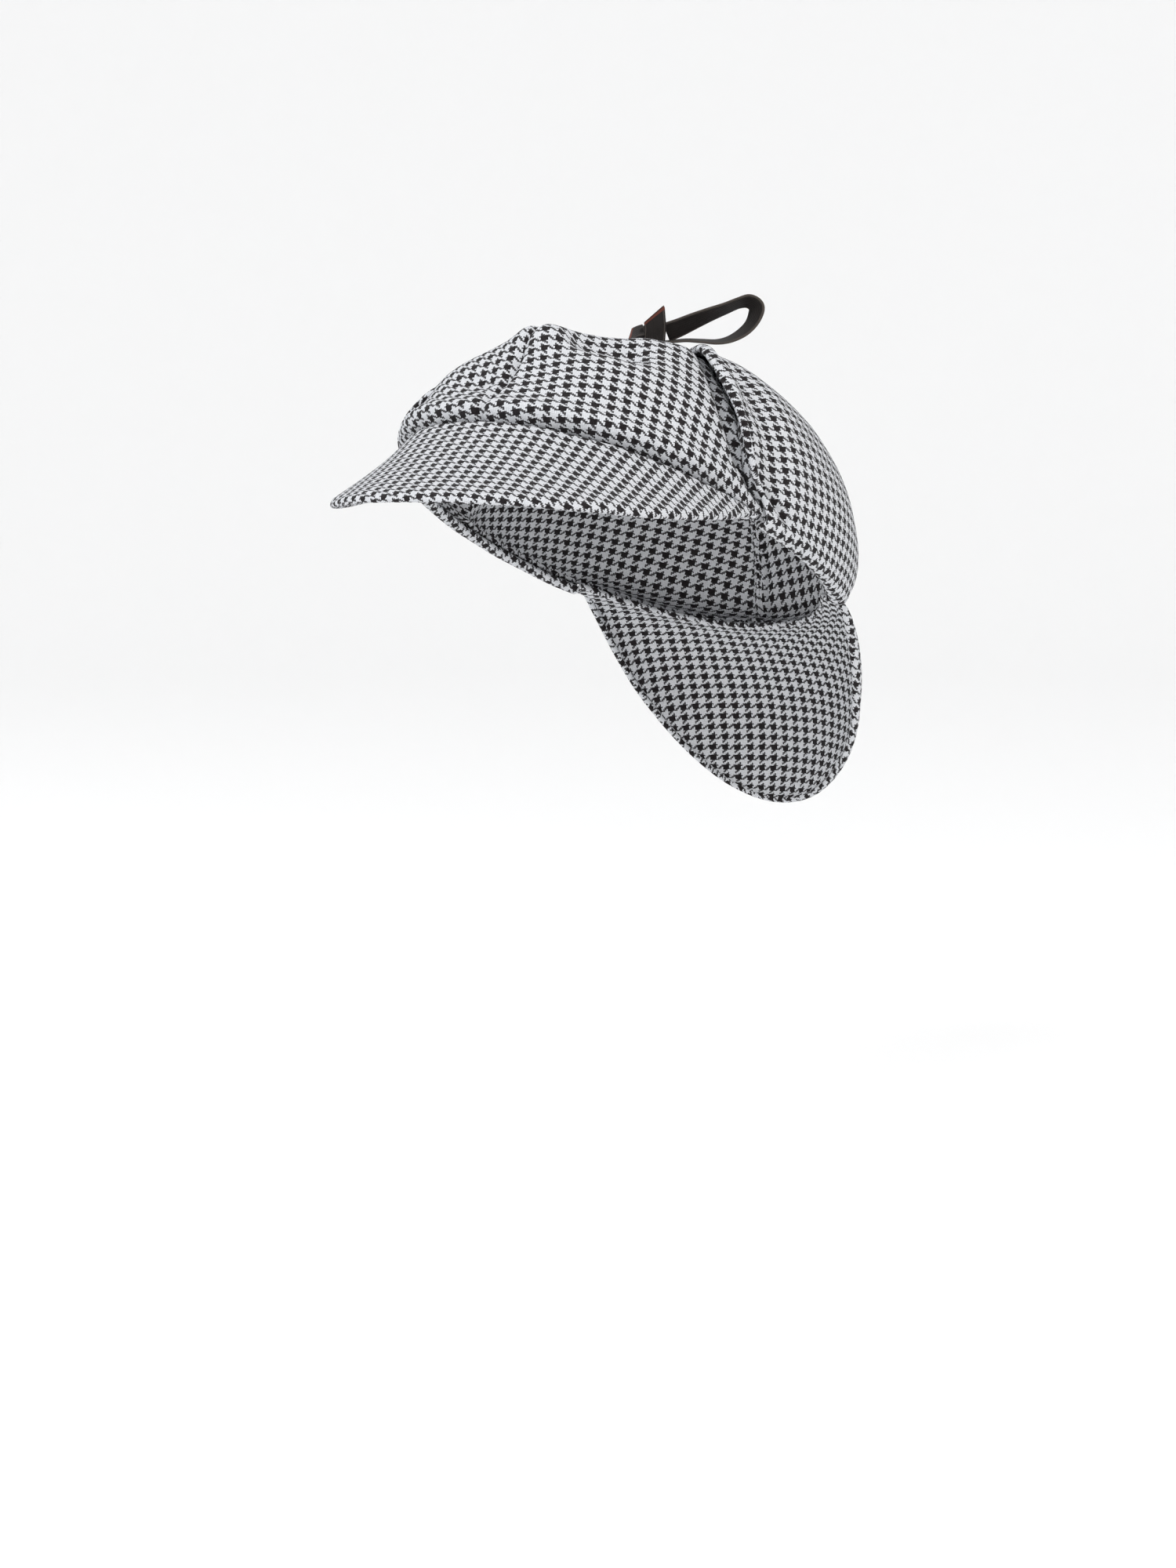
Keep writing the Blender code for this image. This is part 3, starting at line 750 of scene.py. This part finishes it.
def add_tape(node, stations, end_cut, material):
    grid = tape_grid(stations, end_cut)
    half = TAPE_THICKNESS / 2.0
    grid = inset(grid, (half, half), (half, half))
    steps = np.linalg.norm(np.diff(grid, axis=0), axis=2).mean(axis=1)
    along = np.concatenate([[0.0], np.cumsum(steps)])
    along = along[-1] - along if end_cut else along + CUT_CLEAR * MILLIMETRE
    across = np.linspace(-TAPE_WIDTH / 2.0, TAPE_WIDTH / 2.0, grid.shape[1])
    flat = across[None, :] + 1j * along[:, None]
    mesh = wall_mesh(node + "_ribbon", tied(grid), TAPE_THICKNESS, flat, (MILLIMETRE, MILLIMETRE))
    return add_piece(node, mesh, material)


def link_or_set(tree, socket, value):
    if isinstance(value, bpy.types.NodeSocket):
        tree.links.new(value, socket)
    else:
        socket.default_value = value


def operation_node(tree, kind, operation, values):
    node = tree.nodes.new(kind)
    node.operation = operation
    for socket, value in zip(node.inputs, values):
        link_or_set(tree, socket, value)
    return node.outputs[0]


def math_node(tree, operation, *values):
    return operation_node(tree, "ShaderNodeMath", operation, values)


def vector_node(tree, operation, *values):
    return operation_node(tree, "ShaderNodeVectorMath", operation, values)


def noise_node(tree, vector, scale, detail):
    node = tree.nodes.new("ShaderNodeTexNoise")
    tree.links.new(vector, node.inputs["Vector"])
    node.inputs["Scale"].default_value = scale
    node.inputs["Detail"].default_value = detail
    return node.outputs


def mix_node(tree, data_type, output_type, factor, first, second):
    node = tree.nodes.new("ShaderNodeMix")
    node.data_type = data_type
    for name, value in (("Factor", factor), ("A", first), ("B", second)):
        link_or_set(tree, node.inputs[name], value)
    return next(output for output in node.outputs if output.type == output_type)


def mix_colour(tree, factor, first, second):
    return mix_node(tree, "RGBA", "RGBA", factor, first, second)


def mix_value(tree, factor, first, second):
    return mix_node(tree, "FLOAT", "VALUE", factor, first, second)


def noise_shift(tree, vector, scale, detail, reach):
    """A shift across the cloth, up to half of reach either way."""
    colour = noise_node(tree, vector, scale, detail)["Color"]
    centred = vector_node(tree, "SUBTRACT", colour, (0.5, 0.5, 0.5))
    return vector_node(tree, "MULTIPLY", centred, (reach, reach, 0.0))


def first_half(tree, number, count):
    """1 where the whole number is in the first half of each count, and 0 elsewhere."""
    place = math_node(tree, "FLOORED_MODULO", number, float(count))
    return math_node(tree, "LESS_THAN", place, count / 2.0 - 0.5)


def sine_wave(tree, value, factor):
    return math_node(tree, "SINE", math_node(tree, "MULTIPLY", value, factor))


def weave_places(tree):
    weave = tree.nodes.new("ShaderNodeUVMap")
    weave.uv_map = "weave"
    return weave.outputs[0]


def split_places(tree, places):
    split = tree.nodes.new("ShaderNodeSeparateXYZ")
    tree.links.new(places, split.inputs[0])
    return split.outputs[0], split.outputs[1]


def new_material(name, surface):
    """A material with the surface's values on its shader, and its tree and shader."""
    material = bpy.data.materials.new(name)
    material.use_nodes = True
    shader = material.node_tree.nodes["Principled BSDF"]
    for socket, value in surface.items():
        shader.inputs[socket].default_value = value
    return material, material.node_tree, shader


def add_bump(tree, shader, height, values):
    bump = tree.nodes.new("ShaderNodeBump")
    for socket, value in values.items():
        bump.inputs[socket].default_value = value
    tree.links.new(height, bump.inputs["Height"])
    tree.links.new(bump.outputs[0], shader.inputs["Normal"])


def houndstooth_material():
    """Two-and-two twill of four dark and four light threads each way, slightly ragged."""
    material, tree, shader = new_material("houndstooth_twill", CLOTH_SURFACE)
    threads = vector_node(tree, "MULTIPLY", weave_places(tree), (THREADS, THREADS, 0.0))
    fray = noise_shift(tree, threads, *FRAY_SHIFT)
    drift = noise_shift(tree, threads, *DRIFT_SHIFT)
    warp, weft = split_places(
        tree, vector_node(tree, "ADD", vector_node(tree, "ADD", threads, fray), drift))
    warp_number = math_node(tree, "FLOOR", warp)
    weft_number = math_node(tree, "FLOOR", weft)
    warp_dark = first_half(tree, warp_number, THREADS)
    weft_dark = first_half(tree, weft_number, THREADS)
    warp_over = first_half(tree, math_node(tree, "ADD", warp_number, weft_number), TWILL)
    dark = mix_value(tree, warp_over, weft_dark, warp_dark)
    full_check = math_node(tree, "MULTIPLY", warp_dark, weft_dark)
    dark = math_node(tree, "MULTIPLY", dark, mix_value(tree, full_check, TOOTH_DARKNESS, 1.0))
    warp_ridge = sine_wave(tree, math_node(tree, "FRACT", warp), math.pi)
    weft_ridge = sine_wave(tree, math_node(tree, "FRACT", weft), math.pi)
    ridge = mix_value(tree, warp_over, weft_ridge, warp_ridge)
    cloud = noise_node(tree, threads, *CLOUD_NOISE)["Fac"]
    light = mix_colour(tree, cloud, *LIGHT_THREADS)
    black = mix_colour(tree, cloud, *DARK_THREADS)
    colour = mix_colour(tree, dark, light, black)
    # painted shade: the colour darkens in the grooves between the threads
    depth = mix_value(tree, ridge, GROOVE_SHADE, 1.0)
    shaded = vector_node(tree, "SCALE", colour)
    tree.links.new(depth, shaded.node.inputs["Scale"])
    tree.links.new(shaded, shader.inputs["Base Color"])
    fuzz = noise_node(tree, threads, *FUZZ_NOISE)["Fac"]
    height = math_node(tree, "ADD", ridge, math_node(tree, "MULTIPLY", fuzz, FUZZ_HEIGHT))
    add_bump(tree, shader, height, CLOTH_BUMP)
    return material


def tape_material():
    """Near-black ribbed tape."""
    material, tree, shader = new_material("black_ribbed_tape", TAPE_SURFACE)
    places = weave_places(tree)
    across, along = split_places(tree, places)
    ribs = sine_wave(tree, across, 2.0 * math.pi / RIB_SPACING)
    picks = sine_wave(tree, along, 2.0 * math.pi / PICK_SPACING)
    grain = noise_node(tree, places, *TAPE_GRAIN_NOISE)["Fac"]
    height = math_node(tree, "ADD", math_node(tree, "MULTIPLY", ribs, RIB_HEIGHT),
                       math_node(tree, "MULTIPLY", picks, PICK_HEIGHT))
    add_bump(tree, shader, math_node(tree, "ADD", height, grain), TAPE_BUMP)
    colour = mix_colour(tree, grain, *TAPE_COLOURS)
    ragged = math_node(tree, "ADD", along, math_node(tree, "MULTIPLY", grain, CUT_RAGGED))
    cut = math_node(tree, "LESS_THAN", ragged, CUT_REACH + CUT_RAGGED / 2.0)
    # painted highlight: both edges of the tape are painted paler, standing in for light caught
    # along them
    edge_highlight = math_node(tree, "GREATER_THAN", math_node(tree, "ABSOLUTE", across),
                         TAPE_WIDTH / MILLIMETRE / 2.0 - EDGE_HIGHLIGHT_WIDTH)
    colour = mix_colour(tree, edge_highlight, colour, EDGE_HIGHLIGHT_COLOUR)
    colour = mix_colour(tree, cut, colour, CUT_COLOUR)
    tree.links.new(colour, shader.inputs["Base Color"])
    return material


def add_knot(material):
    """The knot: the tape wrapped over and under its own ends, one turn beside another."""
    half_across, half_deep, half_high = np.array(KNOT_SIZE) / 2.0
    turns = np.linspace(0.0, 2.0 * math.pi, KNOT_SPOKES, endpoint=False)
    vertices, places, faces = [], [], []
    for share in np.linspace(-1.0, 1.0, KNOT_RINGS)[1:-1]:
        upper = share > KNOT_LAP
        start, end = (KNOT_LAP, 1.0) if upper else (-1.0, KNOT_LAP)
        across = (2.0 * (share - start) / (end - start) - 1.0) * TAPE_WIDTH / 2.0
        size = (1.0 - abs(share) ** KNOT_BULK) ** (1.0 / KNOT_BULK)
        size = size * (1.0 if upper else KNOT_UNDER)
        for turn in turns:
            wave = KNOT_WAVE * math.sin(3.0 * turn + 2.0 * share)
            vertices.append((
                KNOT_CENTRE[0] + half_across * share + wave,
                KNOT_CENTRE[1] + half_deep * size * signed_power(math.cos(turn), KNOT_SQUARENESS),
                KNOT_CENTRE[2] + half_high * size * signed_power(math.sin(turn), KNOT_SQUARENESS),
            ))
            places.append((across / MILLIMETRE, CUT_CLEAR + turn * half_high / MILLIMETRE))
    for share in (-1.0, 1.0):
        vertices.append((KNOT_CENTRE[0] + half_across * share, KNOT_CENTRE[1], KNOT_CENTRE[2]))
        places.append((TAPE_WIDTH / 2.0 * share / MILLIMETRE, CUT_CLEAR))
    last = (KNOT_RINGS - 3) * KNOT_SPOKES
    first_pole, last_pole = last + KNOT_SPOKES, last + KNOT_SPOKES + 1
    for spoke in range(KNOT_SPOKES):
        after = (spoke + 1) % KNOT_SPOKES
        faces.append((first_pole, after, spoke))
        faces.append((last + spoke, last + after, last_pole))
        for low in range(0, last, KNOT_SPOKES):
            high = low + KNOT_SPOKES
            faces.append((low + spoke, low + after, high + after, high + spoke))
    mesh = bpy.data.meshes.new("tape_knot_ribbon")
    mesh.from_pydata(tied(np.array(vertices)).tolist(), [], faces)
    layer = mesh.uv_layers.new(name="weave")
    for loop in mesh.loops:
        layer.data[loop.index].uv = places[loop.vertex_index]
    mesh.shade_smooth()
    return add_piece("tape_knot", mesh, material)


def add_area_light(name, place, size, power, colour):
    data = bpy.data.lights.new(name, "AREA")
    data.shape = "RECTANGLE"
    data.size, data.size_y = size
    data.energy = power
    data.color = colour
    light = bpy.data.objects.new(name, data)
    light.location = place
    light.rotation_mode = "QUATERNION"
    light.rotation_quaternion = (-Vector(place)).to_track_quat("-Z", "Y")
    bpy.context.scene.collection.objects.link(light)


def add_backdrop():
    """A round floor that sweeps up into a wall all round."""
    bend = np.linspace(0.0, math.pi / 2.0, SWEEP_STEPS + 1)
    radii = np.concatenate([FLOOR_RINGS, SWEEP_START + SWEEP_RADIUS * np.sin(bend)])
    heights = np.concatenate([np.zeros(len(FLOOR_RINGS)), SWEEP_RADIUS * (1.0 - np.cos(bend))])
    radii = np.append(radii, radii[-1])
    heights = np.append(heights, WALL_TOP)
    turns = np.linspace(0.0, 2.0 * math.pi, SWEEP_SIDES, endpoint=False)
    points = points_of(radii[:, None] * np.cos(turns), radii[:, None] * np.sin(turns),
                       FLOOR_Z + heights[:, None])
    faces = []
    for ring in range(len(radii) - 1):
        for side in range(SWEEP_SIDES):
            after = (side + 1) % SWEEP_SIDES
            low, high = ring * SWEEP_SIDES, (ring + 1) * SWEEP_SIDES
            faces.append((low + side, high + side, high + after, low + after))
    mesh = bpy.data.meshes.new("backdrop")
    mesh.from_pydata(points.reshape(-1, 3).tolist(), [], faces)
    mesh.shade_smooth()
    mesh.materials.append(new_material("pale_backdrop", BACKDROP_SURFACE)[0])
    backdrop = bpy.data.objects.new("backdrop", mesh)
    bpy.context.scene.collection.objects.link(backdrop)


def add_studio():
    add_backdrop()
    world = bpy.data.worlds.new("studio")
    world.use_nodes = True
    world.node_tree.nodes["Background"].inputs["Color"].default_value = (1.0, 1.0, 1.0, 1.0)
    world.node_tree.nodes["Background"].inputs["Strength"].default_value = SKY_STRENGTH
    bpy.context.scene.world = world
    for light in AREA_LIGHTS:
        add_area_light(**light)


def add_camera():
    data = bpy.data.cameras.new("camera")
    data.lens = LENS
    data.sensor_width = SENSOR_WIDTH
    data.clip_end = CLIP_END
    camera = bpy.data.objects.new("camera", data)
    camera.location = CAMERA_DISTANCE * Vector((
        math.sin(CAMERA_AZIMUTH) * math.cos(CAMERA_ELEVATION),
        -math.cos(CAMERA_AZIMUTH) * math.cos(CAMERA_ELEVATION),
        math.sin(CAMERA_ELEVATION),
    ))
    camera.rotation_euler = (math.pi / 2.0 - AIM_DOWN, 0.0, AIM_AZIMUTH)
    bpy.context.scene.collection.objects.link(camera)
    bpy.context.scene.camera = camera


def main():
    add_camera()
    add_studio()
    cloth = houndstooth_material()
    tape = tape_material()
    for index, panel in enumerate(PANELS):
        add_cloth(panel["name"], panel_grid(index), PANEL_THICKNESS, panel["grain"], cloth,
                  rows=(PANEL_THICKNESS / 2.0, 0.0),
                  columns=(PANEL_THICKNESS / 2.0 - SEAM_LAP, PANEL_THICKNESS / 2.0 - SEAM_LAP),
                  ease=CROWN_EASE)
    for node, surface, peak in (("front_peak", front_peak_points, FRONT_PEAK),
                                ("back_peak", back_peak_points, BACK_PEAK)):
        add_cloth(node, peak_grid(surface), PEAK_THICKNESS, peak["grain"], cloth,
                  rows=(PEAK_THICKNESS / 2.0, 0.0), columns=(PEAK_END_INSET, PEAK_END_INSET))
    for node, sections, side in (("ear_flap_left", LEFT_FLAP, 1.0),
                                 ("ear_flap_right", RIGHT_FLAP, -1.0)):
        add_cloth(node, flap_grid(sections, side), FLAP_THICKNESS, FLAP_GRAIN, cloth)
    add_knot(tape)
    add_tape("tape_loop", LOOP_STATIONS, 0.0, tape)
    add_tape("tape_end_upright", UPRIGHT_END_STATIONS, UPRIGHT_END_CUT, tape)
    add_tape("tape_end_side", SIDE_END_STATIONS, SIDE_END_CUT, tape)
    bpy.context.scene.view_settings.view_transform = "Standard"


main()
